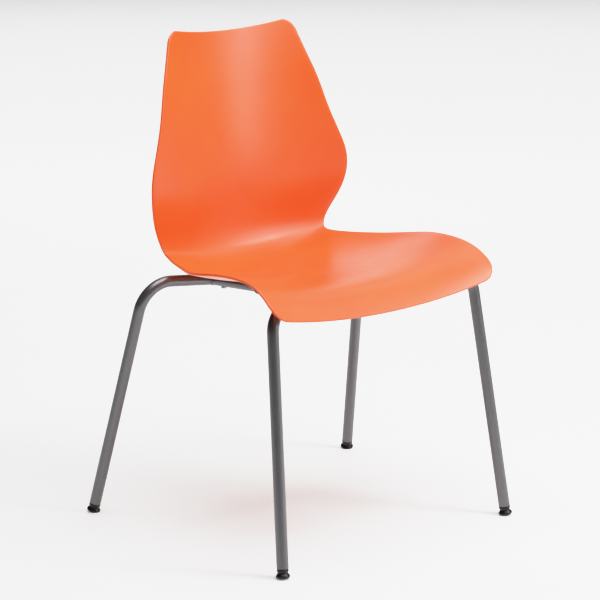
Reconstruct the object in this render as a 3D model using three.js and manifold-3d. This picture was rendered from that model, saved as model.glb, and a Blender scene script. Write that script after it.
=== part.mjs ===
// Stacking chair: a one-piece moulded plastic shell screwed to a welded frame of round steel tube.
// Millimetres, +Z up, front towards -Y, +X on the sitter's left, z = 0 on the floor.
import * as THREE from 'three';
import { mergeVertices } from 'three/addons/utils/BufferGeometryUtils.js';
import Module from 'manifold-3d';

const wasm = await Module();
wasm.setup();

// ---- Driving dimensions ----------------------------------------------------------------------

const GAP = 0.3;                    // clearance between neighbouring pieces

const TUBE_RADIUS = 10;
const TUBE_WALL = 1.5;
const TUBE_BORE = TUBE_RADIUS - TUBE_WALL;
const TUBE_SIDES = 14;

// Where each leg's centre line meets the floor, and how far it leans per millimetre of height.
const REAR_LEG = { x: 294.5, y: 239, inward: 0.119, lean: -0.229 };
const FRONT_LEG = { x: 252.3, y: -238.6, inward: 0.072, lean: 0.151 };

// Corners of the two leg tubes before bending: the knee on the leg, then the arm's inner end.
const REAR_TUBE = { leg: REAR_LEG, kneeZ: 426, kneeRadius: 54, armX: 55, armY: 141.5, armZ: 404 };
const FRONT_TUBE = { leg: FRONT_LEG, kneeZ: 436, kneeRadius: 42, armX: 60, armY: -140, armZ: 426 };
const ARM_RADIUS = 120;             // gentle bend between an arm and the middle of the tube

// A rail's centre line, from the rear leg tube to the front one.
const RAIL_REAR = { x: 100, y: 141.5, z: 409.2 };
const RAIL_FRONT = { x: 80, y: -144, z: 427.4 };

const SHELL_THICKNESS = 4.4;
const RIM_RADIUS = SHELL_THICKNESS / 2;
const TOP_DIP = 9;                  // the top edge is this much lower in the middle
const TOP_DIP_HALF_WIDTH = 120;
const TOP_CORNER_RADIUS = 18;
const FRONT_BOW = 11;               // the front edge reaches this much further down in the middle
const FRONT_BOW_HALF_WIDTH = 210;
const FRONT_CORNER_RADIUS = 26;

// Control stations of the shell from the top edge down the back and along the seat:
// y and z of the centre line, half width, how far the rims stand proud of the centre line, and the
// power of the curve across: 2 is a parabola, more is flatter in the middle.
const SHELL_STATIONS = [
  [234, 878.6, 119, 12, 2],
  [227.5, 839.5, 134, 16.5, 2],
  [220.3, 781.3, 153.5, 26, 2],
  [215.1, 732.2, 172.5, 36, 2],
  [209.8, 683.1, 183.5, 41, 2],
  [204.5, 634.8, 202, 46, 2],
  [200, 587.5, 221, 51.5, 2],
  [197.5, 542.5, 216.5, 44, 2],
  [199, 503.5, 199.5, 29.5, 2],
  [199, 471.5, 183, 21.5, 2],
  [192, 443.5, 178, 25, 2],
  [165.5, 424.5, 182, 32, 2.1],
  [124.5, 419.5, 196, 37, 2.2],
  [78.5, 421.5, 214, 38, 2.2],
  [32.5, 426.5, 236, 37.5, 2.2],
  [-13.5, 433.5, 256, 38, 2.2],
  [-59.5, 440.5, 250, 38.5, 2.4],
  [-104, 444.5, 244, 36.5, 2.5],
  [-148, 444.5, 243, 33, 2.5],
  [-185, 432.5, 246, 24, 2.3],
  [-211, 404, 247, 18, 2.2],
  [-237, 373.5, 247, 13, 2.2],
];

const SCREW_Y = { rear: 112, front: -105 };
const SCREW = { headRadius: 5.5, headHeight: 3.4, shankRadius: 3, length: 24.5, holeRadius: 3.4 };
const INSERT = { outer: 4.6, bore: 3.3, length: { rear: 4.5, front: 9.2 } };
const BOSS_RADIUS = 11;
const BOSS_WRAP = 4;                // how far a boss reaches down past the top of the rail

const BUMPER_Y = [10, -75];
const BUMPER = { length: 26, thickness: 2.6, halfAngle: THREE.MathUtils.degToRad(105) };

// Distances along the leg's own axis, measured up from the floor.
const FOOT = {
  tubeEnd: 16.5, collarRadius: 9.9, neckRadius: 8.7, discRadius: 12, stemRadius: 3.9, stemTop: 34,
};
const SLEEVE = { top: 38, ribRadius: TUBE_BORE - GAP, coreRadius: 6.9, bore: FOOT.stemRadius + GAP };

// ---- Materials ----------------------------------------------------------------------------------

const shellPlastic = new THREE.MeshStandardMaterial({ color: 0xf0642d, roughness: 0.42, metalness: 0 });
const tubePaint = new THREE.MeshStandardMaterial({ color: 0x7d7d80, roughness: 0.38, metalness: 0.7 });
const footPlastic = new THREE.MeshStandardMaterial({ color: 0x17181a, roughness: 0.55, metalness: 0 });
const zincSteel = new THREE.MeshStandardMaterial({ color: 0x8c8f92, roughness: 0.3, metalness: 1 });
const brass = new THREE.MeshStandardMaterial({ color: 0xb8923f, roughness: 0.35, metalness: 1 });

// ---- Solids -------------------------------------------------------------------------------------

function toSolid(geometry) {
  const bare = geometry.clone();
  bare.deleteAttribute('normal');
  bare.deleteAttribute('uv');
  const merged = mergeVertices(bare, 1e-4);
  return new wasm.Manifold(new wasm.Mesh({
    numProp: 3,
    vertProperties: new Float32Array(merged.attributes.position.array),
    triVerts: new Uint32Array(merged.index.array),
  }));
}

function toGeometry(solid) {
  const mesh = solid.getMesh();
  const geometry = new THREE.BufferGeometry();
  geometry.setAttribute('position', new THREE.Float32BufferAttribute(mesh.vertProperties, 3));
  geometry.setIndex(Array.from(mesh.triVerts));
  geometry.computeVertexNormals();
  return geometry;
}

function piece(name, geometry, material) {
  const mesh = new THREE.Mesh(geometry, material);
  mesh.name = name;
  return mesh;
}

// Puts a geometry built along +Y so that its axis runs from `origin` along `axis`.
function alongAxis(geometry, origin, axis) {
  const turn = new THREE.Quaternion().setFromUnitVectors(new THREE.Vector3(0, 1, 0), axis);
  geometry.applyQuaternion(turn);
  geometry.translate(origin.x, origin.y, origin.z);
  return geometry;
}

function cylinder(radius, bottom, top, origin, axis, sides = 20) {
  const geometry = new THREE.CylinderGeometry(radius, radius, top - bottom, sides);
  geometry.translate(0, (top + bottom) / 2, 0);
  return alongAxis(geometry, origin, axis);
}

function lathe(profile, origin, axis, sides = 24) {
  const points = profile.map(([radius, height]) => new THREE.Vector2(radius, height));
  return alongAxis(new THREE.LatheGeometry(points, sides), origin, axis);
}

// ---- Tubes ---------------------------------------------------------------------------------------

// A route through fixed stations: only the bends hold many, the straights have one at each end.
class StationRoute extends THREE.Curve {
  constructor(points) {
    super();
    this.points = points;
  }

  getPointAt(u, target = new THREE.Vector3()) {
    return target.copy(this.points[Math.round(u * (this.points.length - 1))]);
  }

  getTangentAt(u, target = new THREE.Vector3()) {
    const last = this.points.length - 1;
    const i = Math.round(u * last);
    const here = this.points[i];
    const before = here.clone().sub(this.points[Math.max(i - 1, 0)]).normalize();
    const after = this.points[Math.min(i + 1, last)].clone().sub(here).normalize();
    return target.copy(before).add(after).normalize();
  }
}

// Replaces each inner corner of a polyline with an arc of the given radius.
function roundedRoute(corners, radii) {
  const points = [corners[0]];
  for (let i = 1; i < corners.length - 1; i++) {
    const corner = corners[i];
    const back = corners[i - 1].clone().sub(corner).normalize();
    const ahead = corners[i + 1].clone().sub(corner).normalize();
    const turn = Math.PI - back.angleTo(ahead);
    const radius = radii[i - 1];
    const reach = radius * Math.tan(turn / 2);
    const middle = back.clone().add(ahead).normalize();
    const centre = corner.clone().addScaledVector(middle, radius / Math.cos(turn / 2));
    const first = corner.clone().addScaledVector(back, reach).sub(centre);
    const final = corner.clone().addScaledVector(ahead, reach).sub(centre);
    const steps = Math.max(2, Math.ceil(turn / THREE.MathUtils.degToRad(14)));
    for (let k = 0; k <= steps; k++) {
      const angle = turn * k / steps;
      const spoke = first.clone().multiplyScalar(Math.sin(turn - angle))
        .addScaledVector(final, Math.sin(angle)).divideScalar(Math.sin(turn));
      points.push(centre.clone().add(spoke));
    }
  }
  points.push(corners[corners.length - 1]);
  return points;
}

function tube(points, outer, bore) {
  const ring = new THREE.Shape().absarc(0, 0, outer, 0, Math.PI * 2);
  if (bore > 0) {
    ring.holes.push(new THREE.Path().absarc(0, 0, bore, 0, Math.PI * 2, true));
  }
  return new THREE.ExtrudeGeometry(ring, {
    steps: points.length - 1,
    curveSegments: TUBE_SIDES / 2,
    extrudePath: new StationRoute(points),
  });
}

function onLeg(leg, side, height) {
  return new THREE.Vector3(side * (leg.x - leg.inward * height), leg.y + leg.lean * height, height);
}

function legAxis(leg, side) {
  return new THREE.Vector3(-side * leg.inward, leg.lean, 1).normalize();
}

function legTubeRoute({ leg, kneeZ, kneeRadius, armX, armY, armZ }) {
  const end = (side) => onLeg(leg, side, 0).addScaledVector(legAxis(leg, side), FOOT.tubeEnd);
  const corners = [
    end(-1),
    onLeg(leg, -1, kneeZ),
    new THREE.Vector3(-armX, armY, armZ),
    new THREE.Vector3(armX, armY, armZ),
    onLeg(leg, 1, kneeZ),
    end(1),
  ];
  return roundedRoute(corners, [kneeRadius, ARM_RADIUS, ARM_RADIUS, kneeRadius]);
}

const rearRoute = legTubeRoute(REAR_TUBE);
const frontRoute = legTubeRoute(FRONT_TUBE);

function railPoint(side, y) {
  const share = (RAIL_REAR.y - y) / (RAIL_REAR.y - RAIL_FRONT.y);
  const x = RAIL_REAR.x + share * (RAIL_FRONT.x - RAIL_REAR.x);
  return new THREE.Vector3(side * x, y, RAIL_REAR.z + share * (RAIL_FRONT.z - RAIL_REAR.z));
}

function railAxis(side) {
  return railPoint(side, RAIL_FRONT.y).sub(railPoint(side, RAIL_REAR.y)).normalize();
}

// The direction square to a rail that points most nearly up: the screws' axis.
function railUp(side) {
  const along = railAxis(side);
  return new THREE.Vector3(0, 0, 1).addScaledVector(along, -along.z).normalize();
}

// A rail's ends are coped to the leg tubes, and each screw passes through both of its walls.
function railGeometry(side) {
  const ends = [railPoint(side, RAIL_REAR.y), railPoint(side, RAIL_FRONT.y)];
  const clearance = TUBE_RADIUS + GAP;
  let solid = toSolid(tube(ends, TUBE_RADIUS, TUBE_BORE))
    .subtract(toSolid(tube(rearRoute, clearance, 0)))
    .subtract(toSolid(tube(frontRoute, clearance, 0)));
  for (const y of Object.values(SCREW_Y)) {
    const drill = cylinder(SCREW.holeRadius, -20, 20, railPoint(side, y), railUp(side), 12);
    solid = solid.subtract(toSolid(drill));
  }
  return toGeometry(largestPart(solid));
}

// Coping leaves slivers beyond the leg tubes: only the rail itself is kept.
function largestPart(solid) {
  const parts = solid.decompose();
  return parts.reduce((best, part) => (part.volume() > best.volume() ? part : best));
}

// ---- Shell ---------------------------------------------------------------------------------------

// A uniform cubic B-spline over the stations' five values.
function blendStations(t) {
  const spans = SHELL_STATIONS.length - 3;
  const i = Math.min(Math.floor(t * spans), spans - 1);
  const f = t * spans - i;
  const weights = [(1 - f) ** 3, 3 * f ** 3 - 6 * f ** 2 + 4, 3 * (f + f ** 2 - f ** 3) + 1, f ** 3];
  return [0, 1, 2, 3, 4].map((part) =>
    weights.reduce((sum, weight, k) => sum + weight * SHELL_STATIONS[i + k][part], 0) / 6);
}

class CentreLine extends THREE.Curve {
  getPoint(t, target = new THREE.Vector3()) {
    const [y, z] = blendStations(Math.min(Math.max(t, 0), 1));
    return target.set(0, y, z);
  }
}

const centreLine = new CentreLine();
centreLine.arcLengthDivisions = 1200;
const centreLength = centreLine.getLength();
const shellLength = centreLength - FRONT_BOW - 2 * RIM_RADIUS;

// The front (upper) surface at a distance along the centre line and a sideways place x.
function shellSurface(distance, x) {
  const t = centreLine.getUtoTmapping(distance / centreLength);
  const [y, z, halfWidth, rise, power] = blendStations(t);
  const tangent = centreLine.getTangent(t);
  const lift = rise * Math.abs(x / halfWidth) ** power;
  return new THREE.Vector3(x, y + tangent.z * lift, z - tangent.y * lift);
}

function shellNormal(distance, x) {
  const step = 0.5;
  const along = shellSurface(distance + step, x).sub(shellSurface(distance - step, x));
  const across = shellSurface(distance, x + step).sub(shellSurface(distance, x - step));
  return along.cross(across).normalize();
}

// How much a quarter-circle corner takes off the half width at a distance from the end.
function cornerCut(fromEnd, radius) {
  const inside = Math.max(radius - fromEnd, 0);
  return radius - Math.sqrt(radius ** 2 - inside ** 2);
}

function shellHalfWidth(row) {
  const t = centreLine.getUtoTmapping((row + RIM_RADIUS) / centreLength);
  const top = cornerCut(row, TOP_CORNER_RADIUS);
  const front = cornerCut(shellLength - row, FRONT_CORNER_RADIUS);
  return blendStations(t)[2] - RIM_RADIUS - top - front;
}

function shellDistance(row, x) {
  const topFade = 1 - THREE.MathUtils.smoothstep(row, 0, 90);
  const frontFade = THREE.MathUtils.smoothstep(row, shellLength - 90, shellLength);
  const dip = TOP_DIP * Math.max(1 - (x / TOP_DIP_HALF_WIDTH) ** 2, 0);
  const bow = FRONT_BOW * (1 - (x / FRONT_BOW_HALF_WIDTH) ** 2);
  return RIM_RADIUS + row + dip * topFade + bow * frontFade;
}

function shellRows() {
  const cornerSteps = 4;
  const middleSteps = 38;
  const middleStart = TOP_CORNER_RADIUS;
  const middleEnd = shellLength - FRONT_CORNER_RADIUS;
  const rows = [];
  for (let k = 0; k < cornerSteps; k++) {
    rows.push(TOP_CORNER_RADIUS * (1 - Math.cos(Math.PI / 2 * k / cornerSteps)));
  }
  for (let k = 0; k <= middleSteps; k++) {
    rows.push(middleStart + (middleEnd - middleStart) * k / middleSteps);
  }
  for (let k = cornerSteps - 1; k >= 0; k--) {
    rows.push(shellLength - FRONT_CORNER_RADIUS * (1 - Math.cos(Math.PI / 2 * k / cornerSteps)));
  }
  return rows;
}

// Two offset grids joined round the edge by a rounded rim.
function shellGeometry() {
  const rows = shellRows();
  const columns = 12;
  const positions = [];
  const triangles = [];
  const fronts = [];
  const backs = [];
  const normals = [];
  for (const row of rows) {
    const halfWidth = shellHalfWidth(row);
    for (let k = 0; k <= columns; k++) {
      const x = halfWidth * (2 * k / columns - 1);
      const distance = shellDistance(row, x);
      const front = shellSurface(distance, x);
      const normal = shellNormal(distance, x);
      fronts.push(front);
      normals.push(normal);
      backs.push(front.clone().addScaledVector(normal, -SHELL_THICKNESS));
    }
  }
  const size = fronts.length;
  for (const point of [...fronts, ...backs]) {
    positions.push(point.x, point.y, point.z);
  }
  const at = (i, k) => i * (columns + 1) + k;
  const last = rows.length - 1;
  for (let i = 0; i < last; i++) {
    for (let k = 0; k < columns; k++) {
      const [a, b, c, d] = [at(i, k), at(i, k + 1), at(i + 1, k), at(i + 1, k + 1)];
      triangles.push(a, c, b, b, c, d);
      triangles.push(size + a, size + b, size + c, size + b, size + d, size + c);
    }
  }

  const loop = [];
  for (let k = 0; k < columns; k++) loop.push(at(0, k));
  for (let i = 0; i < last; i++) loop.push(at(i, columns));
  for (let k = columns; k > 0; k--) loop.push(at(last, k));
  for (let i = last; i > 0; i--) loop.push(at(i, 0));
  const count = loop.length;
  const rim = 2 * size;
  for (let k = 0; k < count; k++) {
    const here = loop[k];
    const along = fronts[loop[(k + 1) % count]].clone().sub(fronts[loop[(k + count - 1) % count]]);
    const outward = along.normalize().cross(normals[here]).normalize().negate();
    const middle = fronts[here].clone().add(backs[here]).multiplyScalar(0.5);
    middle.addScaledVector(outward, -RIM_RADIUS);
    positions.push(middle.x, middle.y, middle.z);
    const next = loop[(k + 1) % count];
    const [m, n] = [rim + k, rim + (k + 1) % count];
    triangles.push(here, next, n, here, n, m);
    triangles.push(m, n, size + next, m, size + next, size + here);
  }
  const geometry = new THREE.BufferGeometry();
  geometry.setAttribute('position', new THREE.Float32BufferAttribute(positions, 3));
  geometry.setIndex(triangles);
  return geometry;
}

// How far above a rail's centre line the underside of the shell lies on a screw's axis.
function undersideHeight(side, y) {
  const base = railPoint(side, y);
  const up = railUp(side);
  const ray = new THREE.Raycaster(base, up);
  const shell = new THREE.Mesh(shellGeometry(), new THREE.MeshBasicMaterial({ side: THREE.DoubleSide }));
  return ray.intersectObject(shell)[0].distance;
}

// A boss under the seat for each screw, with a saddle for the rail and a pocket for the insert.
function shellWithBosses() {
  let solid = toSolid(shellGeometry());
  for (const side of [-1, 1]) {
    const rail = toSolid(tube([railPoint(side, 175), railPoint(side, -175)], TUBE_RADIUS + GAP, 0));
    for (const [end, y] of Object.entries(SCREW_Y)) {
      const base = railPoint(side, y);
      const up = railUp(side);
      const under = undersideHeight(side, y);
      const bottom = TUBE_RADIUS - BOSS_WRAP;
      const boss = toSolid(cylinder(BOSS_RADIUS, bottom, under + SHELL_THICKNESS * 0.6, base, up, 18));
      const pocketTop = TUBE_RADIUS + GAP + INSERT.length[end] + GAP;
      const pocket = toSolid(cylinder(INSERT.outer + GAP, bottom, pocketTop, base, up, 14));
      solid = solid.add(boss.subtract(rail)).subtract(pocket);
    }
  }
  return toGeometry(solid);
}

// ---- Small parts ---------------------------------------------------------------------------------

function screwGeometry(side, y) {
  const head = TUBE_RADIUS + GAP;
  const { headRadius, headHeight, shankRadius, length } = SCREW;
  const profile = [
    [0, -head - headHeight],
    [headRadius * 0.55, -head - headHeight * 0.94],
    [headRadius * 0.88, -head - headHeight * 0.68],
    [headRadius, -head - headHeight * 0.25],
    [headRadius, -head],
    [shankRadius, -head],
    [shankRadius, length - head - 1],
    [shankRadius - 0.8, length - head],
    [0, length - head],
  ];
  const base = railPoint(side, y);
  const up = railUp(side);
  let solid = toSolid(lathe(profile, base, up, 16));
  const slotDepth = 1.8;
  for (const turned of [0, Math.PI / 2]) {
    const slot = new THREE.BoxGeometry(6.4, slotDepth * 2, 1.3);
    slot.rotateY(turned + Math.PI / 4);
    slot.translate(0, -head - headHeight, 0);
    solid = solid.subtract(toSolid(alongAxis(slot, base, up)));
  }
  return toGeometry(solid);
}

function insertGeometry(side, y, length) {
  const { outer, bore } = INSERT;
  const bottom = TUBE_RADIUS + GAP * 2;
  const top = TUBE_RADIUS + GAP + length;
  const groove = outer - 0.7;
  const [low, high] = [bottom + (top - bottom) * 0.4, bottom + (top - bottom) * 0.6];
  const profile = [
    [bore, bottom], [outer, bottom], [outer, low], [groove, low],
    [groove, high], [outer, high], [outer, top], [bore, top], [bore, bottom],
  ];
  return lathe(profile, railPoint(side, y), railUp(side), 14);
}

// A clip of soft plastic under a rail that keeps stacked chairs from scratching each other.
function bumperGeometry(side, y) {
  const { length, thickness, halfAngle } = BUMPER;
  const inner = TUBE_RADIUS + GAP;
  const down = -Math.PI / 2;
  const section = new THREE.Shape();
  section.absarc(0, 0, inner + thickness, down - halfAngle, down + halfAngle, false);
  section.absarc(0, 0, inner, down + halfAngle, down - halfAngle, true);
  const geometry = new THREE.ExtrudeGeometry(section, {
    depth: length, curveSegments: 10, bevelEnabled: false,
  });
  geometry.translate(0, 0, -length / 2);
  const along = railAxis(side).negate();
  const up = railUp(side);
  const frame = new THREE.Matrix4().makeBasis(up.clone().cross(along), up, along);
  geometry.applyMatrix4(frame);
  const base = railPoint(side, y);
  geometry.translate(base.x, base.y, base.z);
  return geometry;
}

function footGeometry(leg, side) {
  const { tubeEnd, collarRadius, neckRadius, discRadius, stemRadius, stemTop } = FOOT;
  const profile = [
    [0, -1.2],
    [6, -0.7],
    [9.6, 0.9],
    [discRadius - 0.2, 2.8],
    [discRadius, 4.8],
    [discRadius - 0.6, 6],
    [neckRadius + 0.2, 9.6],
    [neckRadius, 11],
    [collarRadius, 13],
    [collarRadius, tubeEnd - GAP],
    [stemRadius, tubeEnd - GAP],
    [stemRadius, stemTop - 1],
    [stemRadius - 1, stemTop],
    [0, stemTop],
  ];
  const below = new THREE.BoxGeometry(60, 60, 20);
  below.translate(side * leg.x, leg.y, -10);
  const foot = toSolid(lathe(profile, onLeg(leg, side, 0), legAxis(leg, side), 18));
  return toGeometry(foot.subtract(toSolid(below)));
}

function sleeveGeometry(leg, side) {
  const { top, ribRadius, coreRadius, bore } = SLEEVE;
  const profile = [[bore, FOOT.tubeEnd]];
  const ribs = 2;
  const pitch = (top - FOOT.tubeEnd) / ribs;
  for (let k = 0; k < ribs; k++) {
    const start = FOOT.tubeEnd + k * pitch;
    profile.push([ribRadius, start], [ribRadius, start + pitch * 0.4]);
    profile.push([coreRadius, start + pitch * 0.55], [coreRadius, start + pitch]);
  }
  profile.push([bore, top], [bore, FOOT.tubeEnd]);
  return lathe(profile, onLeg(leg, side, 0), legAxis(leg, side), 14);
}

// ---- Assembly ------------------------------------------------------------------------------------

const chair = new THREE.Group();
chair.add(piece('seat_shell', shellWithBosses(), shellPlastic));
chair.add(piece('rear_leg_tube', tube(rearRoute, TUBE_RADIUS, TUBE_BORE), tubePaint));
chair.add(piece('front_leg_tube', tube(frontRoute, TUBE_RADIUS, TUBE_BORE), tubePaint));

for (const [sideName, side] of [['right', -1], ['left', 1]]) {
  chair.add(piece(`${sideName}_rail`, railGeometry(side), tubePaint));
  for (const [end, y] of Object.entries(SCREW_Y)) {
    chair.add(piece(`${end}_${sideName}_seat_screw`, screwGeometry(side, y), zincSteel));
    const insert = insertGeometry(side, y, INSERT.length[end]);
    chair.add(piece(`${end}_${sideName}_insert`, insert, brass));
  }
  for (const [end, leg] of [['rear', REAR_LEG], ['front', FRONT_LEG]]) {
    chair.add(piece(`${end}_${sideName}_glide`, footGeometry(leg, side), footPlastic));
    chair.add(piece(`${end}_${sideName}_glide_sleeve`, sleeveGeometry(leg, side), footPlastic));
  }
  BUMPER_Y.forEach((y, index) => {
    const end = ['rear', 'front'][index];
    chair.add(piece(`${end}_${sideName}_bumper`, bumperGeometry(side, y), footPlastic));
  });
}

export default chair;
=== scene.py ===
"""Stacking chair: a moulded orange shell on a welded frame of bent grey tube.

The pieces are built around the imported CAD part, in its frame: front towards -Y, +Z up, floor at z = 0.
Shapes are worked out in millimetres and scaled to metres when their meshes are made.
"""
import math

import bpy
import numpy as np
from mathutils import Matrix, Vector


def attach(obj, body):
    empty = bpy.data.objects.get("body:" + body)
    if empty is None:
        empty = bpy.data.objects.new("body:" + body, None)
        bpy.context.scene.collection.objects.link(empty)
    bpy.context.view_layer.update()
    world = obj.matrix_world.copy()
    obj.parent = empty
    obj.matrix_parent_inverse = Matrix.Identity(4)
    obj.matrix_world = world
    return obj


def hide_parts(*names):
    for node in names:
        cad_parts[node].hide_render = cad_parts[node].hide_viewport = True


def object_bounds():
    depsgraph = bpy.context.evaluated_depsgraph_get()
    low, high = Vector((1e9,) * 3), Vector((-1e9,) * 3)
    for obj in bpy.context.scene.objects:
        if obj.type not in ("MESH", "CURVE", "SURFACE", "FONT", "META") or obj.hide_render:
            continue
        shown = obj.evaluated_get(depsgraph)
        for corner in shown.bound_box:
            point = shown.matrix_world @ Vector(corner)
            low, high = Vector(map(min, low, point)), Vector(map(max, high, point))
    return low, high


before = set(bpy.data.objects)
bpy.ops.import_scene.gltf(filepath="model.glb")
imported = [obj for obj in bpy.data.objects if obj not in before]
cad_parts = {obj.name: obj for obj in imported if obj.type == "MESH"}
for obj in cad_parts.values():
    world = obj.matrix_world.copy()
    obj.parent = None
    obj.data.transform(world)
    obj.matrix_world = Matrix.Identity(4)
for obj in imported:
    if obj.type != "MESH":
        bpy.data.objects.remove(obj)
cad_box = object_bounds()

MM = 0.001

# ---- Dimensions shared with the CAD part ---------------------------------------------------------

GAP = 0.3
TUBE_RADIUS = 10.0
TUBE_BORE = 8.5

REAR_LEG = dict(x=294.5, y=239.0, inward=0.119, lean=-0.229)
FRONT_LEG = dict(x=252.3, y=-238.6, inward=0.072, lean=0.151)
REAR_TUBE = dict(leg=REAR_LEG, knee_z=426.0, knee_radius=54.0, arm=(55.0, 141.5, 404.0))
FRONT_TUBE = dict(leg=FRONT_LEG, knee_z=436.0, knee_radius=42.0, arm=(60.0, -140.0, 426.0))
ARM_RADIUS = 120.0

RAIL_REAR = np.array([100.0, 141.5, 409.2])
RAIL_FRONT = np.array([80.0, -144.0, 427.4])

THICKNESS = 4.4
RIM = THICKNESS / 2
TOP_DIP, TOP_DIP_HALF_WIDTH, TOP_CORNER = 9.0, 120.0, 18.0
FRONT_BOW, FRONT_BOW_HALF_WIDTH, FRONT_CORNER = 11.0, 210.0, 26.0

# y and z of the shell's centre line, its half width, how far its rims stand proud, and the power
# of the curve across it: 2 is a parabola, more is flatter in the middle.
STATIONS = np.array([
    [234, 878.6, 119, 12, 2], [227.5, 839.5, 134, 16.5, 2], [220.3, 781.3, 153.5, 26, 2],
    [215.1, 732.2, 172.5, 36, 2], [209.8, 683.1, 183.5, 41, 2], [204.5, 634.8, 202, 46, 2],
    [200, 587.5, 221, 51.5, 2], [197.5, 542.5, 216.5, 44, 2], [199, 503.5, 199.5, 29.5, 2],
    [199, 471.5, 183, 21.5, 2], [192, 443.5, 178, 25, 2], [165.5, 424.5, 182, 32, 2.1],
    [124.5, 419.5, 196, 37, 2.2], [78.5, 421.5, 214, 38, 2.2], [32.5, 426.5, 236, 37.5, 2.2],
    [-13.5, 433.5, 256, 38, 2.2], [-59.5, 440.5, 250, 38.5, 2.4], [-104, 444.5, 244, 36.5, 2.5],
    [-148, 444.5, 243, 33, 2.5], [-185, 432.5, 246, 24, 2.3], [-211, 404, 247, 18, 2.2],
    [-237, 373.5, 247, 13, 2.2],
], float)

SCREW_Y = {"rear": 112.0, "front": -105.0}
SCREW = dict(head_radius=5.5, head_height=3.4, shank_radius=3.0, length=24.5, hole_radius=3.4)
INSERT_OUTER = 4.6
INSERT_LENGTH = {"rear": 4.5, "front": 9.2}
BOSS_RADIUS = 11.0
BOSS_WRAP = 4.0

BUMPER_Y = {"rear": 10.0, "front": -75.0}
BUMPER = dict(length=26.0, thickness=2.6, half_angle=math.radians(105))

BEAD_RADIUS = 1.3

TUBE_END = 16.5              # the tube's end above the floor, along the leg's own axis
COLLAR_RADIUS = 9.9
NECK_RADIUS = 8.7
DISC_RADIUS = 12.0
STEM_RADIUS = 3.9
STEM_TOP = 34.0

SIDES = {"right": -1, "left": 1}


# ---- Materials -----------------------------------------------------------------------------------

def linear(rgb):
    """sRGB bytes to a linear RGBA colour."""
    c = [v / 255 for v in rgb]
    return tuple(v / 12.92 if v <= 0.04045 else ((v + 0.055) / 1.055) ** 2.4 for v in c) + (1.0,)


class Surface:
    """A Principled material whose colour, roughness and bump come from nodes in object space."""

    def __init__(self, name, **sockets):
        self.material = bpy.data.materials.new(name)
        self.material.use_nodes = True
        self.nodes = self.material.node_tree.nodes
        self.links = self.material.node_tree.links
        self.shader = self.nodes["Principled BSDF"]
        for socket, value in sockets.items():
            self.shader.inputs[socket.replace("_", " ")].default_value = value
        self.place = self.nodes.new("ShaderNodeTexCoord").outputs["Object"]
        self.bump_above = None

    def noise(self, scale, detail=2.0, roughness=0.5, stretch=None):
        place = self.place
        if stretch:
            mapping = self.nodes.new("ShaderNodeMapping")
            mapping.inputs["Scale"].default_value = stretch
            self.links.new(place, mapping.inputs["Vector"])
            place = mapping.outputs["Vector"]
        node = self.nodes.new("ShaderNodeTexNoise")
        node.inputs["Scale"].default_value = scale
        node.inputs["Detail"].default_value = detail
        node.inputs["Roughness"].default_value = roughness
        self.links.new(place, node.inputs["Vector"])
        return node.outputs["Fac"]

    def cells(self, scale, feature="F1"):
        node = self.nodes.new("ShaderNodeTexVoronoi")
        node.feature = feature
        node.inputs["Scale"].default_value = scale
        self.links.new(self.place, node.inputs["Vector"])
        return node.outputs["Distance"]

    def colour(self, factor, *stops):
        ramp = self.nodes.new("ShaderNodeValToRGB")
        elements = ramp.color_ramp.elements
        for element, (position, rgb) in zip(elements, stops):
            element.position = position
            element.color = linear(rgb)
        for position, rgb in stops[2:]:
            elements.new(position).color = linear(rgb)
        self.links.new(factor, ramp.inputs["Fac"])
        self.links.new(ramp.outputs["Color"], self.shader.inputs["Base Color"])

    def vary(self, socket, factor, low, high, from_low=0.3, from_high=0.7):
        spread = self.nodes.new("ShaderNodeMapRange")
        spread.inputs["From Min"].default_value = from_low
        spread.inputs["From Max"].default_value = from_high
        spread.inputs["To Min"].default_value = low
        spread.inputs["To Max"].default_value = high
        self.links.new(factor, spread.inputs["Value"])
        self.links.new(spread.outputs["Result"], self.shader.inputs[socket])

    def bump(self, height, strength, distance):
        """Bumps stack: the first one added is the last one the light meets."""
        node = self.nodes.new("ShaderNodeBump")
        node.inputs["Strength"].default_value = strength
        node.inputs["Distance"].default_value = distance
        self.links.new(height, node.inputs["Height"])
        if self.bump_above is None:
            self.links.new(node.outputs["Normal"], self.shader.inputs["Normal"])
        else:
            self.links.new(node.outputs["Normal"], self.bump_above.inputs["Normal"])
        self.bump_above = node


def shell_surface():
    """Satin injection-moulded polypropylene: a very fine grain over a faint unevenness."""
    s = Surface("shell_polypropylene", Specular_IOR_Level=0.42, IOR=1.49)
    s.colour(s.noise(7, 3), (0.3, (237, 84, 32)), (0.7, (242, 92, 38)))
    s.vary("Roughness", s.noise(38, 4), 0.285, 0.335)
    s.bump(s.cells(1500), 0.03, 0.0001)
    s.bump(s.noise(420, 2), 0.05, 0.0002)
    s.bump(s.noise(11, 2), 0.10, 0.0006)
    return s.material


def paint_surface():
    """Silver-grey powder coat: metallic flake under a slight orange peel."""
    s = Surface("tube_powder_coat", Metallic=0.7, Coat_Weight=0.2, Coat_Roughness=0.2)
    s.colour(s.noise(1900, 2), (0.35, (90, 89, 91)), (0.65, (111, 110, 112)))
    s.vary("Roughness", s.noise(160, 3), 0.30, 0.38)
    s.bump(s.noise(640, 2), 0.16, 0.0002)
    s.bump(s.noise(2600, 1), 0.10, 0.00008)
    return s.material


def black_plastic(name, rgb, roughness):
    s = Surface(name, Specular_IOR_Level=0.35)
    dark = tuple(int(v * 0.8) for v in rgb)
    s.colour(s.noise(90, 3), (0.3, dark), (0.7, rgb))
    s.vary("Roughness", s.noise(220, 3), roughness - 0.06, roughness + 0.06)
    s.bump(s.noise(900, 3), 0.25, 0.0002)
    return s.material


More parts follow.
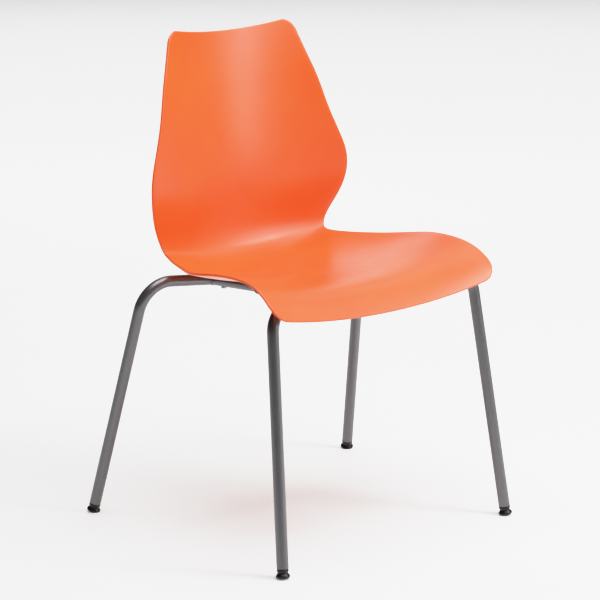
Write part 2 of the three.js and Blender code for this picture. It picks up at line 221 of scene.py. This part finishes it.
def zinc_surface():
    s = Surface("screw_zinc_plate", Metallic=1.0)
    s.colour(s.noise(260, 4), (0.3, (150, 152, 156)), (0.7, (188, 190, 192)))
    s.vary("Roughness", s.noise(500, 3), 0.28, 0.42)
    s.bump(s.noise(1400, 2), 0.12, 0.0001)
    return s.material


def brass_surface():
    s = Surface("insert_turned_brass", Metallic=1.0)
    s.colour(s.noise(300, 3), (0.3, (176, 140, 66)), (0.7, (205, 168, 92)))
    s.vary("Roughness", s.noise(420, 3, stretch=(1, 1, 12)), 0.28, 0.4)
    s.bump(s.noise(900, 2, stretch=(1, 1, 9)), 0.2, 0.0001)
    return s.material


def floor_surface():
    s = Surface("studio_floor", Specular_IOR_Level=0.1)
    s.colour(s.noise(3, 2), (0.3, (240, 240, 240)), (0.7, (243, 243, 243)))
    s.vary("Roughness", s.noise(9, 2), 0.85, 0.95)
    s.bump(s.noise(240, 3), 0.05, 0.0002)
    s.shader.inputs["Emission Color"].default_value = (1, 1, 1, 1)
    s.shader.inputs["Emission Strength"].default_value = 0.25
    return s.material


MATERIALS = {
    "shell": shell_surface(),
    "frame_paint": paint_surface(),
    "glide_plastic": black_plastic("glide_black_plastic", (10, 10, 11), 0.36),
    "sleeve_plastic": black_plastic("sleeve_black_plastic", (34, 34, 36), 0.5),
    "bumper_rubber": black_plastic("bumper_soft_plastic", (36, 36, 37), 0.62),
    "screw_zinc": zinc_surface(),
    "insert_brass": brass_surface(),
}


# ---- Mesh helpers --------------------------------------------------------------------------------

def make_object(name, points, faces):
    """A mesh object from points in millimetres."""
    points = np.asarray(points, float) * MM
    mesh = bpy.data.meshes.new(name)
    mesh.from_pydata(points.tolist(), [], [tuple(int(i) for i in f) for f in faces])
    mesh.validate()
    mesh.update()
    thing = bpy.data.objects.new(name, mesh)
    bpy.context.scene.collection.objects.link(thing)
    return thing


def finish_piece(thing, slot, *nodes, sharp=35):
    """Gives a piece the material of its slot, smooth shading and the root body, and hides the CAD nodes it
    stands for.
    """
    mesh = thing.data
    mesh.materials.clear()
    mesh.materials.append(MATERIALS[slot])
    mesh.polygons.foreach_set("use_smooth", [True] * len(mesh.polygons))
    mesh.set_sharp_from_angle(angle=math.radians(sharp))
    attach(thing, "root")
    if nodes:
        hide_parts(*nodes)
    return thing


def combine(thing, tool, operation):
    """Boolean, applied to thing; the tool object goes."""
    modifier = thing.modifiers.new("cut", "BOOLEAN")
    modifier.operation = operation
    modifier.object = tool
    modifier.solver = "MANIFOLD"
    bpy.context.view_layer.update()
    result = bpy.data.meshes.new_from_object(thing.evaluated_get(bpy.context.evaluated_depsgraph_get()))
    thing.modifiers.clear()
    old = thing.data
    thing.data = result
    bpy.data.meshes.remove(old)
    old_tool = tool.data
    bpy.data.objects.remove(tool)
    bpy.data.meshes.remove(old_tool)
    return thing


def grid(rows, columns, close_rows=False, close_columns=False):
    """Quads over a rows by columns block of points, joined end to end where asked."""
    faces = []
    for i in range(rows if close_rows else rows - 1):
        for k in range(columns if close_columns else columns - 1):
            i2, k2 = (i + 1) % rows, (k + 1) % columns
            faces.append((i * columns + k, i * columns + k2, i2 * columns + k2, i2 * columns + k))
    return faces


def unit(v):
    v = np.asarray(v, float)
    return v / np.linalg.norm(v, axis=-1, keepdims=True)


def square_to(axis, towards=(0, 0, 1)):
    """Two unit vectors square to axis and to each other, the first as near to towards as it can be."""
    axis = unit(axis)
    towards = np.asarray(towards, float)
    first = unit(towards - axis * towards.dot(axis))
    return first, np.cross(axis, first)


def revolve(profile, base, axis, sides=48, towards=(0, 1, 0)):
    """A closed solid turned about an axis. The profile is (radius, height), from axis to axis."""
    axis = unit(axis)
    u, v = square_to(axis, towards)
    turns = np.arange(sides) * 2 * math.pi / sides
    rings = [base + axis * h + r * (np.outer(np.cos(turns), u) + np.outer(np.sin(turns), v))
             for r, h in profile[1:-1]]
    points = np.vstack(rings)
    faces = grid(len(rings), sides, close_columns=True)
    low, high = len(points), len(points) + 1
    points = np.vstack([points, base + axis * profile[0][1], base + axis * profile[-1][1]])
    last = (len(rings) - 1) * sides
    for k in range(sides):
        n = (k + 1) % sides
        faces.append((low, n, k))
        faces.append((high, last + k, last + n))
    return points, faces


def rounded(profile, radius, steps=4):
    """Rounds the corners of a profile of (radius, height) points, but not its two ends."""
    p = [np.array(q, float) for q in profile]
    result = [p[0]]
    for before, here, after in zip(p, p[1:], p[2:]):
        back, ahead = before - here, after - here
        reach = min(radius, 0.45 * np.linalg.norm(back), 0.45 * np.linalg.norm(ahead))
        start, end = here + unit(back) * reach, here + unit(ahead) * reach
        for f in np.linspace(0, 1, steps):
            result.append((1 - f) ** 2 * start + 2 * f * (1 - f) * here + f ** 2 * end)
    result.append(p[-1])
    return result


# ---- Frame tubes ---------------------------------------------------------------------------------

def on_leg(leg, side, height):
    return np.array([side * (leg["x"] - leg["inward"] * height), leg["y"] + leg["lean"] * height, height])


def leg_axis(leg, side):
    return unit([-side * leg["inward"], leg["lean"], 1])


def rounded_route(corners, radii, step=math.radians(4)):
    """Points along straight runs joined by arcs."""
    points = [corners[0]]
    for before, here, after, radius in zip(corners, corners[1:], corners[2:], radii):
        back, ahead = unit(before - here), unit(after - here)
        half = math.acos(np.clip(back.dot(ahead), -1, 1)) / 2
        reach = radius / math.tan(half)
        centre = here + unit(back + ahead) * radius / math.sin(half)
        start = here + back * reach - centre
        sweep = math.pi - 2 * half
        side_way = unit(here + ahead * reach - centre - start * math.cos(sweep))
        for angle in np.linspace(0, sweep, max(2, math.ceil(sweep / step)) + 1):
            points.append(centre + start * math.cos(angle) + side_way * radius * math.sin(angle))
    points.append(corners[-1])
    return np.array(points)


def leg_route(leg, knee_z, knee_radius, arm):
    def end(side):
        return on_leg(leg, side, 0) + leg_axis(leg, side) * TUBE_END

    mirrored = np.array([-arm[0], arm[1], arm[2]])
    corners = [end(-1), on_leg(leg, -1, knee_z), mirrored, np.array(arm), on_leg(leg, 1, knee_z), end(1)]
    return rounded_route(corners, [knee_radius, ARM_RADIUS, ARM_RADIUS, knee_radius])


def dense_route(route, longest):
    """The same route with its long straights broken up."""
    points = [route[0]]
    for a, b in zip(route, route[1:]):
        count = max(1, math.ceil(np.linalg.norm(b - a) / longest))
        points.extend(a + (b - a) * k / count for k in range(1, count + 1))
    return np.array(points)


def route_rings(route, sides):
    """Unit circles square to the route at each point, turned as little as possible."""
    ahead = np.vstack([route[1:] - route[:-1], route[-1:] - route[-2:-1]])
    behind = np.vstack([route[1:2] - route[:1], route[1:] - route[:-1]])
    tangents = unit(unit(ahead) + unit(behind))
    u, _ = square_to(tangents[0])
    turns = np.arange(sides) * 2 * math.pi / sides
    circles = []
    for tangent in tangents:
        u = unit(u - tangent * u.dot(tangent))
        v = np.cross(tangent, u)
        circles.append(np.outer(np.cos(turns), u) + np.outer(np.sin(turns), v))
    return np.array(circles)


def leg_tube(name, spec, node):
    """A bent tube, open at both ends, with its cut edges slightly broken. Returns its route."""
    sides = 48
    route = dense_route(leg_route(**spec), 14)
    circles = route_rings(route, sides)
    edge = 0.45
    rings = [route[0] + circles[0] * (TUBE_RADIUS - edge)]
    rings += [p + c * TUBE_RADIUS for p, c in zip(route, circles)]
    rings += [route[-1] + circles[-1] * (TUBE_RADIUS - edge)]
    rings += [p + c * TUBE_BORE for p, c in zip(route[::-1], circles[::-1])]
    first = unit(route[1] - route[0]) * edge
    last = unit(route[-2] - route[-1]) * edge
    rings[1] = rings[1] + first
    rings[len(route)] = rings[len(route)] + last
    points = np.vstack(rings)
    faces = [f[::-1] for f in grid(len(rings), sides, close_rows=True, close_columns=True)]
    finish_piece(make_object(name, points, faces), "frame_paint", node)
    return route


rear_route = leg_tube("rear_leg_bent_tube", REAR_TUBE, "rear_leg_tube")
front_route = leg_tube("front_leg_bent_tube", FRONT_TUBE, "front_leg_tube")


def rail_point(side, y):
    share = (RAIL_REAR[1] - y) / (RAIL_REAR[1] - RAIL_FRONT[1])
    point = RAIL_REAR + share * (RAIL_FRONT - RAIL_REAR)
    return point * [side, 1, 1]


def rail_axis(side):
    return unit(rail_point(side, RAIL_FRONT[1]) - rail_point(side, RAIL_REAR[1]))


def rail_up(side):
    return square_to(rail_axis(side))[0]


def gap_to_route(points, route):
    """Distance from each point to the nearest place on a route."""
    best = np.full(len(points), np.inf)
    for a, b in zip(route, route[1:]):
        run = b - a
        share = np.clip((points - a) @ run / run.dot(run), 0, 1)
        best = np.minimum(best, np.linalg.norm(points - a - share[:, None] * run, axis=1))
    return best


def coped_ring(side, radius, end, route, sides):
    """Where each straight line along a rail's wall first meets the leg tube it is welded to."""
    axis = rail_axis(side) * (1 if end == "front" else -1)
    centre = rail_point(side, RAIL_FRONT[1] if end == "front" else RAIL_REAR[1])
    up, across = square_to(rail_axis(side))
    turns = np.arange(sides) * 2 * math.pi / sides
    ring = []
    for turn in turns:
        start = centre + radius * (math.cos(turn) * up + math.sin(turn) * across)
        steps = np.linspace(-16, 4, 161)
        away = gap_to_route(start + np.outer(steps, axis), route)
        touching = np.nonzero(away < TUBE_RADIUS)[0]
        stop = touching[0] if len(touching) else int(np.argmin(away))
        ring.append(start + axis * steps[stop])
    return np.array(ring)


def rail(name, side, node):
    """A straight tube coped to both leg tubes and drilled for its screws. Returns its two outer ends."""
    sides = 48
    outer = [coped_ring(side, TUBE_RADIUS, "rear", rear_route, sides),
             coped_ring(side, TUBE_RADIUS, "front", front_route, sides)]
    inner = [coped_ring(side, TUBE_BORE, "rear", rear_route, sides),
             coped_ring(side, TUBE_BORE, "front", front_route, sides)]
    shares = np.linspace(0, 1, 20)
    rings = [outer[0] * (1 - f) + outer[1] * f for f in shares]
    rings += [inner[0] * (1 - f) + inner[1] * f for f in shares[::-1]]
    faces = grid(len(rings), sides, close_rows=True, close_columns=True)
    thing = make_object(name, np.vstack(rings), [f[::-1] for f in faces])
    for y in SCREW_Y.values():
        radius = SCREW["hole_radius"]
        profile = [(0, -20), (radius, -20), (radius, 20), (0, 20)]
        drill = make_object("drill", *revolve(profile, rail_point(side, y), rail_up(side), 32))
        combine(thing, drill, "DIFFERENCE")
    finish_piece(thing, "frame_paint", node)
    return outer


def weld_bead(name, loop, radius, seed):
    """A rippled bead laid round the joint of two tubes, sunk half into both."""
    section = 12
    count = 144
    closed = np.vstack([loop, loop[:1]])
    lengths = np.concatenate([[0], np.cumsum(np.linalg.norm(np.diff(closed, axis=0), axis=1))])
    places = np.linspace(0, lengths[-1], count, endpoint=False)
    path = np.column_stack([np.interp(places, lengths, closed[:, k]) for k in range(3)])
    for _ in range(6):
        path = (np.roll(path, 1, 0) + path * 2 + np.roll(path, -1, 0)) / 4
    tangents = unit(np.roll(path, -1, 0) - np.roll(path, 1, 0))
    outward = path - path.mean(0)
    rng = np.random.default_rng(seed)
    wander = np.convolve(np.tile(rng.normal(0, 1, count), 3), np.ones(9) / 9, "same")[count:2 * count]
    turns = np.arange(section) * 2 * math.pi / section
    rings = []
    for k in range(count):
        u = unit(outward[k] - tangents[k] * outward[k].dot(tangents[k]))
        v = np.cross(tangents[k], u)
        ripple = 1 + 0.10 * math.cos(places[k] * 2 * math.pi / 2.1) + 0.10 * wander[k]
        rings.append(path[k] + radius * ripple * (np.outer(np.cos(turns), u) + np.outer(np.sin(turns), v)))
    faces = grid(count, section, close_rows=True, close_columns=True)
    bead = make_object(name, np.vstack(rings), [f[::-1] for f in faces])
    return finish_piece(bead, "frame_paint", sharp=180)


for side_name, side in SIDES.items():
    ends = rail(f"{side_name}_rail_coped_tube", side, f"{side_name}_rail")
    for end, loop in zip(("rear", "front"), ends):
        weld_bead(f"{end}_{side_name}_weld_bead", loop, BEAD_RADIUS, 11 + side + (3 if end == "front" else 0))


# ---- Shell ---------------------------------------------------------------------------------------

def blend_stations(t):
    """A uniform cubic B-spline over the stations, for an array of t from 0 to 1."""
    spans = len(STATIONS) - 3
    t = np.clip(np.atleast_1d(t), 0, 1) * spans
    i = np.minimum(t.astype(int), spans - 1)
    f = (t - i)[:, None]
    weights = [(1 - f) ** 3, 3 * f ** 3 - 6 * f ** 2 + 4, 3 * (f + f ** 2 - f ** 3) + 1, f ** 3]
    return sum(w * STATIONS[i + k] for k, w in enumerate(weights)) / 6


FINE_T = np.linspace(0, 1, 6001)
FINE = blend_stations(FINE_T)
FINE_LENGTH = np.concatenate([[0], np.cumsum(np.linalg.norm(np.diff(FINE[:, :2], axis=0), axis=1))])
FINE_TANGENT = unit(np.gradient(FINE[:, :2], axis=0))
CENTRE_LENGTH = FINE_LENGTH[-1]
SHELL_LENGTH = CENTRE_LENGTH - FRONT_BOW - 2 * RIM


def at_distance(values, distance):
    return np.interp(distance, FINE_LENGTH, values)


def shell_point(distance, x):
    """The upper surface at a distance down the centre line and a sideways place x, as arrays."""
    half_width = at_distance(FINE[:, 2], distance)
    power = at_distance(FINE[:, 4], distance)
    lift = at_distance(FINE[:, 3], distance) * np.abs(x / half_width) ** power
    ty, tz = at_distance(FINE_TANGENT[:, 0], distance), at_distance(FINE_TANGENT[:, 1], distance)
    y, z = at_distance(FINE[:, 0], distance), at_distance(FINE[:, 1], distance)
    return np.stack([x, y + tz * lift, z - ty * lift], axis=-1)


def shell_normal(distance, x, step=0.8):
    along = shell_point(distance + step, x) - shell_point(distance - step, x)
    across = shell_point(distance, x + step) - shell_point(distance, x - step)
    return unit(np.cross(along, across))


def smoothstep(value, low, high):
    f = np.clip((value - low) / (high - low), 0, 1)
    return f * f * (3 - 2 * f)


def corner_cut(from_end, radius):
    inside = np.maximum(radius - from_end, 0)
    return radius - np.sqrt(radius ** 2 - inside ** 2)


def shell_rows():
    corner_steps, middle_steps = 12, 176
    bend = 1 - np.cos(np.linspace(0, math.pi / 2, corner_steps, endpoint=False))
    top = TOP_CORNER * bend
    middle = np.linspace(TOP_CORNER, SHELL_LENGTH - FRONT_CORNER, middle_steps + 1)
    front = SHELL_LENGTH - FRONT_CORNER * bend[::-1]
    return np.concatenate([top, middle, front])


def shell_grids(columns):
    """The upper and lower surfaces, and the upper one's normals, each rows by columns by 3."""
    rows = shell_rows()[:, None]
    half_width = (at_distance(FINE[:, 2], rows + RIM) - RIM
                  - corner_cut(rows, TOP_CORNER) - corner_cut(SHELL_LENGTH - rows, FRONT_CORNER))
    x = half_width * np.linspace(-1, 1, columns)[None, :]
    dip = TOP_DIP * np.maximum(1 - (x / TOP_DIP_HALF_WIDTH) ** 2, 0)
    bow = FRONT_BOW * (1 - (x / FRONT_BOW_HALF_WIDTH) ** 2)
    distance = (RIM + rows + dip * (1 - smoothstep(rows, 0, 90))
                + bow * smoothstep(rows, SHELL_LENGTH - 90, SHELL_LENGTH))
    upper = shell_point(distance, x)
    normals = shell_normal(distance, x)
    return upper, upper - normals * THICKNESS, normals


def shell_mesh():
    columns = 57
    upper, lower, normals = shell_grids(columns)
    rows = len(upper)
    size = rows * columns
    quads = grid(rows, columns)
    faces = list(quads) + [tuple(size + i for i in f[::-1]) for f in quads]
    index = np.arange(size).reshape(rows, columns)
    loop = np.concatenate([index[0, :-1], index[:-1, -1], index[-1, :0:-1], index[:0:-1, 0]])
    flat_upper, flat_lower, flat_normal = (a.reshape(-1, 3) for a in (upper, lower, normals))
    edge = flat_upper[loop]
    along = unit(np.roll(edge, -1, 0) - np.roll(edge, 1, 0))
    outward = unit(np.cross(flat_normal[loop], along))
    middle = (flat_upper[loop] + flat_lower[loop]) / 2
    points = [flat_upper, flat_lower]
    steps = 8
    previous = loop
    start = 2 * size
    count = len(loop)
    for k in range(1, steps):
        angle = math.pi * k / steps
        points.append(middle + RIM * (outward * math.sin(angle) + flat_normal[loop] * math.cos(angle)))
        ring = np.arange(start, start + count)
        faces += strip(previous, ring)
        previous = ring
        start += count
    faces += strip(previous, loop + size)
    return np.vstack(points), faces


def strip(one, other):
    nxt = np.roll(np.arange(len(one)), -1)
    return [(one[k], other[k], other[nxt[k]], one[nxt[k]]) for k in range(len(one))]


def underside_height(side, y):
    """How far above a rail's centre line, square to it, the shell's underside lies."""
    base, up = rail_point(side, y), rail_up(side)
    _, lower, _ = shell_grids(113)
    points = lower.reshape(-1, 3)
    from_axis = np.linalg.norm(np.cross(points - base, up), axis=1)
    near = np.argsort(from_axis)[:3]
    return float(((points[near] - base) @ up).mean())


def boss(side, end):
    """A moulded boss with a filleted root and a saddle for the rail."""
    y = SCREW_Y[end]
    base, up = rail_point(side, y), rail_up(side)
    under = underside_height(side, y)
    bottom = TUBE_RADIUS - BOSS_WRAP
    root = under - 0.2
    fillet = min(4.0, (under - bottom) * 0.45)
    profile = [(0, bottom), (BOSS_RADIUS - 0.8, bottom), (BOSS_RADIUS, bottom + 0.8)]
    for k in range(9):
        angle = math.pi / 2 * k / 8
        profile.append((BOSS_RADIUS + fillet * (1 - math.cos(angle)), root - fillet * (1 - math.sin(angle))))
    profile += [(BOSS_RADIUS + fillet, root + THICKNESS * 0.55), (0, root + THICKNESS * 0.55)]
    thing = make_object("boss", *revolve(profile, base, up, 64))
    saddle = [(0, -60), (TUBE_RADIUS + GAP, -60), (TUBE_RADIUS + GAP, 60), (0, 60)]
    combine(thing, make_object("saddle", *revolve(saddle, base, rail_axis(side), 64)), "DIFFERENCE")
    return thing


def pocket(side, end):
    base, up = rail_point(side, SCREW_Y[end]), rail_up(side)
    top = TUBE_RADIUS + GAP + INSERT_LENGTH[end] + GAP
    radius = INSERT_OUTER + GAP
    profile = [(0, 0), (radius, 0), (radius, top - 0.4), (radius - 0.4, top), (0, top)]
    return make_object("pocket", *revolve(profile, base, up, 32))


shell = make_object("seat_and_back_shell", *shell_mesh())
for side in SIDES.values():
    for end in SCREW_Y:
        combine(shell, boss(side, end), "UNION")
        combine(shell, pocket(side, end), "DIFFERENCE")
finish_piece(shell, "shell", "seat_shell", sharp=40)


# ---- Screws and bumpers --------------------------------------------------------------------------

def screw(name, side, end, node):
    """A pan head with a cross recess on a threaded shank."""
    y = SCREW_Y[end]
    base, up = rail_point(side, y), rail_up(side)
    head = TUBE_RADIUS + GAP
    radius, height, shank = SCREW["head_radius"], SCREW["head_height"], SCREW["shank_radius"]
    profile = [(0, -head - height)]
    for angle in np.linspace(0.18, math.pi / 2, 10):
        profile.append((radius * math.sin(angle), -head - height * (0.22 + 0.78 * math.cos(angle))))
    profile += [(radius, -head - 0.25), (radius - 0.25, -head), (shank, -head)]
    first = len(profile)
    tip = SCREW["length"] - head
    profile += [(shank, h) for h in np.arange(-head + 0.6, tip - 1.2, 0.25)]
    last = len(profile)
    profile += [(shank - 0.9, tip), (0, tip)]
    points, faces = revolve(profile, base, up, 24)
    cut_thread(points, base, up, first, last, tip)
    thing = make_object(name, points, faces)
    for turn in (0.25, 0.75):
        combine(thing, recess_blade(base - up * (head + height), up, math.pi * turn), "DIFFERENCE")
    return finish_piece(thing, "screw_zinc", node, sharp=30)


def cut_thread(points, base, up, first, last, tip, sides=24, pitch=1.0, depth=0.55):
    """Turns the shank's plain rings into a helical thread by pulling points towards the axis."""
    for ring in range(first - 1, last - 1):
        for k in range(sides):
            p = points[ring * sides + k]
            height = (p - base) @ up
            phase = (height / pitch - k / sides) % 1
            fade = min(1, max(0, (height + TUBE_RADIUS - 1) / 2), max(0, (tip - height) / 1.5))
            share = 1 - fade * depth / SCREW["shank_radius"] * abs(2 * phase - 1)
            on_axis = base + up * height
            points[ring * sides + k] = on_axis + (p - on_axis) * share


def recess_blade(centre, up, turn):
    """One wedge of the cross recess, narrower at its bottom."""
    u, v = square_to(up, (0, 1, 0))
    along = math.cos(turn) * u + math.sin(turn) * v
    across = np.cross(up, along)
    points = []
    for depth, length, width in ((-1.0, 3.3, 0.72), (2.1, 1.5, 0.45)):
        for a, c in ((-1, -1), (1, -1), (1, 1), (-1, 1)):
            points.append(centre + up * depth + along * a * length + across * c * width)
    faces = [(3, 2, 1, 0), (4, 5, 6, 7), (0, 1, 5, 4), (1, 2, 6, 5), (2, 3, 7, 6), (3, 0, 4, 7)]
    return make_object("blade", points, faces)


def bumper(name, side, end, node):
    """A soft clip round the underside of a rail, with rounded edges and two shallow grooves."""
    base, up, axis = rail_point(side, BUMPER_Y[end]), rail_up(side), rail_axis(side)
    across = np.cross(axis, up)
    inner = TUBE_RADIUS + GAP
    half, thick = BUMPER["length"] / 2, BUMPER["thickness"]
    section = clip_section(half, thick)
    limit = BUMPER["half_angle"]
    edge = thick / 2 / (inner + thick / 2)
    angles = np.concatenate([-limit + edge * (1 - np.cos(np.linspace(0, math.pi / 2, 6))),
                             np.linspace(-limit + edge, limit - edge, 44)[1:-1],
                             limit - edge * (1 - np.cos(np.linspace(math.pi / 2, 0, 6)))])
    rings = []
    for angle in angles:
        inside = min(1.0, (limit - abs(angle)) / edge)
        squeeze = math.sqrt(max(1 - (1 - inside) ** 2, 0.0036))
        outward = -up * math.cos(angle) + across * math.sin(angle)
        for along, out in section:
            radial = inner + thick / 2 + (out - thick / 2) * squeeze
            reach = along * (1 - (1 - squeeze) * thick / 2 / half)
            rings.append(base + axis * reach + outward * radial)
    width = len(section)
    faces = grid(len(angles), width, close_columns=True)
    faces.append(tuple(range(width))[::-1])
    faces.append(tuple((len(angles) - 1) * width + k for k in range(width)))
    return finish_piece(make_object(name, rings, faces), "bumper_rubber", node, sharp=50)


def clip_section(half, thick):
    """Outline of the clip's wall: (along the rail, out from its inside face)."""
    corner = 0.9
    outline = []
    for centre, start in (((half - corner, thick - corner), 0), ((-half + corner, thick - corner), 90),
                          ((-half + 0.3, 0.3), 180), ((half - 0.3, 0.3), 270)):
        radius = corner if start < 180 else 0.3
        for k in range(6):
            angle = math.radians(start + 90 * k / 5)
            outline.append((centre[0] + radius * math.cos(angle), centre[1] + radius * math.sin(angle)))
        if start == 0:
            for groove in (half * 0.45, -half * 0.45):
                outline += [(groove + 1.2, thick), (groove + 0.5, thick - 0.5),
                            (groove - 0.5, thick - 0.5), (groove - 1.2, thick)]
    return outline


for side_name, side in SIDES.items():
    for end in SCREW_Y:
        screw(f"{end}_{side_name}_pan_head_screw", side, end, f"{end}_{side_name}_seat_screw")
        bumper(f"{end}_{side_name}_rail_clip", side, end, f"{end}_{side_name}_bumper")


# ---- Glides --------------------------------------------------------------------------------------

def glide(name, leg, side, node):
    """A moulded foot: a collar under the tube's end, a neck and a rounded disc, flat on the floor."""
    profile = rounded([
        (0, -1.2), (6, -0.7), (9.6, 0.9), (DISC_RADIUS - 0.3, 2.6), (DISC_RADIUS, 4.6),
        (DISC_RADIUS - 0.7, 6.1), (NECK_RADIUS + 0.6, 8.8), (NECK_RADIUS, 11),
        (COLLAR_RADIUS, 13), (COLLAR_RADIUS, TUBE_END - GAP), (STEM_RADIUS, TUBE_END - GAP),
    ], 1.1, steps=5)
    # The stem's root stays square, so that it clears the sleeve around it.
    profile += [(STEM_RADIUS, STEM_TOP - 1), (STEM_RADIUS - 1, STEM_TOP), (0, STEM_TOP)]
    points, faces = revolve(profile, on_leg(leg, side, 0), leg_axis(leg, side), 64)
    points[:, 2] = np.maximum(points[:, 2], 0)
    return finish_piece(make_object(name, points, faces), "glide_plastic", node, sharp=45)


for side_name, side in SIDES.items():
    for end, leg in (("rear", REAR_LEG), ("front", FRONT_LEG)):
        glide(f"{end}_{side_name}_floor_glide", leg, side, f"{end}_{side_name}_glide")

# The inserts and the glides' sleeves keep their CAD shape.
for node_name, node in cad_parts.items():
    for ending, slot in (("_insert", "insert_brass"), ("_glide_sleeve", "sleeve_plastic")):
        if node_name.endswith(ending):
            node.data.materials.clear()
            node.data.materials.append(MATERIALS[slot])


# ---- Studio --------------------------------------------------------------------------------------

low, high = (Vector(c) for c in cad_box)
middle = (low + high) / 2
AIM_BACK, AIM_HEIGHT = 0.0208, 0.4527      # behind the middle, in metres; a share of the height
target = Vector((middle.x, middle.y + AIM_BACK, low.z + AIM_HEIGHT * (high.z - low.z)))


def aim(thing, point):
    thing.rotation_euler = (Vector(point) - thing.location).to_track_quat("-Z", "Y").to_euler()


def towards(azimuth, elevation, distance):
    """An offset in metres. Azimuth 0 is in front of the chair and 90 is at its left."""
    a, e = math.radians(azimuth), math.radians(elevation)
    return Vector((math.sin(a) * math.cos(e), -math.cos(a) * math.cos(e), math.sin(e))) * distance


floor_mesh = bpy.data.meshes.new("floor")
floor_mesh.from_pydata([(-30, -30, 0), (30, -30, 0), (30, 30, 0), (-30, 30, 0)], [], [(0, 1, 2, 3)])
floor = bpy.data.objects.new("floor", floor_mesh)
floor.data.materials.append(floor_surface())
bpy.context.scene.collection.objects.link(floor)

world = bpy.data.worlds.new("studio")
bpy.context.scene.world = world
world.use_nodes = True
world.node_tree.nodes["Background"].inputs["Color"].default_value = (1, 1, 1, 1)
world.node_tree.nodes["Background"].inputs["Strength"].default_value = 0


def softbox(name, azimuth, elevation, distance, width, height, radiance):
    light = bpy.data.lights.new(name, "AREA")
    light.shape = "RECTANGLE"
    light.size, light.size_y = width, height
    light.energy = math.pi * width * height * radiance
    thing = bpy.data.objects.new(name, light)
    thing.location = target + towards(azimuth, elevation, distance)
    bpy.context.scene.collection.objects.link(thing)
    aim(thing, target)
    return thing


# Name, azimuth and elevation as seen from the chair, distance, width, height and radiance.
SOFTBOXES = [
    ("key_side", 22, 22, 3, 0.8, 1.8, 0.72),
    ("overhead", 0, 85, 3, 2.4, 2.4, 5.44),
    ("right_fill", 75, 45, 3, 1.5, 1.5, 1.44),
    ("back_top", 125, 52, 3, 1.6, 1.6, 1.2),
    ("back_low", 145, 16, 3.5, 2.4, 1.2, 1.11),
    ("front_top", -5, 62, 3, 1.6, 1, 3.18),
    ("left_front_fill", -30, 20, 3.5, 1.5, 1.5, 0.17),
    ("back_right", 108, 32, 3, 1.4, 1.4, 0.34),
    ("key", 32, 19, 3, 0.7, 1.5, 8.6),
    ("key_top", 38, 39, 3, 0.7, 1, 15),
    ("key_upper", 36, 54, 3, 0.8, 0.9, 4),
    ("back_wide", 150, 30, 3, 2, 1, 0.51),
]
for box in SOFTBOXES:
    softbox(*box)

# A wash over the floor behind the chair, which stands in for a lit backdrop.
wash = softbox("backdrop_wash", 180 - 39.6, 34, 5.6, 7, 5, 1.0)
wash.rotation_euler = (0, 0, math.radians(-39.6))
wash.data.spread = math.radians(80)

camera_data = bpy.data.cameras.new("camera")
camera_data.sensor_width = 36
camera_data.lens = 151.9
camera_data.shift_x = -0.0013
camera_data.shift_y = 0.0008
camera = bpy.data.objects.new("camera", camera_data)
camera.location = target + towards(-39.62, 14.07, 4.393)
aim(camera, target)
bpy.context.scene.collection.objects.link(camera)
bpy.context.scene.camera = camera

# The picture's response: linear to mid grey, then a soft shoulder that keeps the bright orange.
SHOULDER = [(0.6, 0.6), (0.85, 0.79), (1.1, 0.865), (1.6, 0.92), (2.5, 0.97)]
BRIGHTEST = 5.0
view = bpy.context.scene.view_settings
view.view_transform = "Standard"
view.use_curve_mapping = True
view.curve_mapping.white_level = (BRIGHTEST, BRIGHTEST, BRIGHTEST)
shoulder = view.curve_mapping.curves[3]
for light_in, light_out in SHOULDER:
    shoulder.points.new(light_in / BRIGHTEST, light_out)
view.curve_mapping.update()
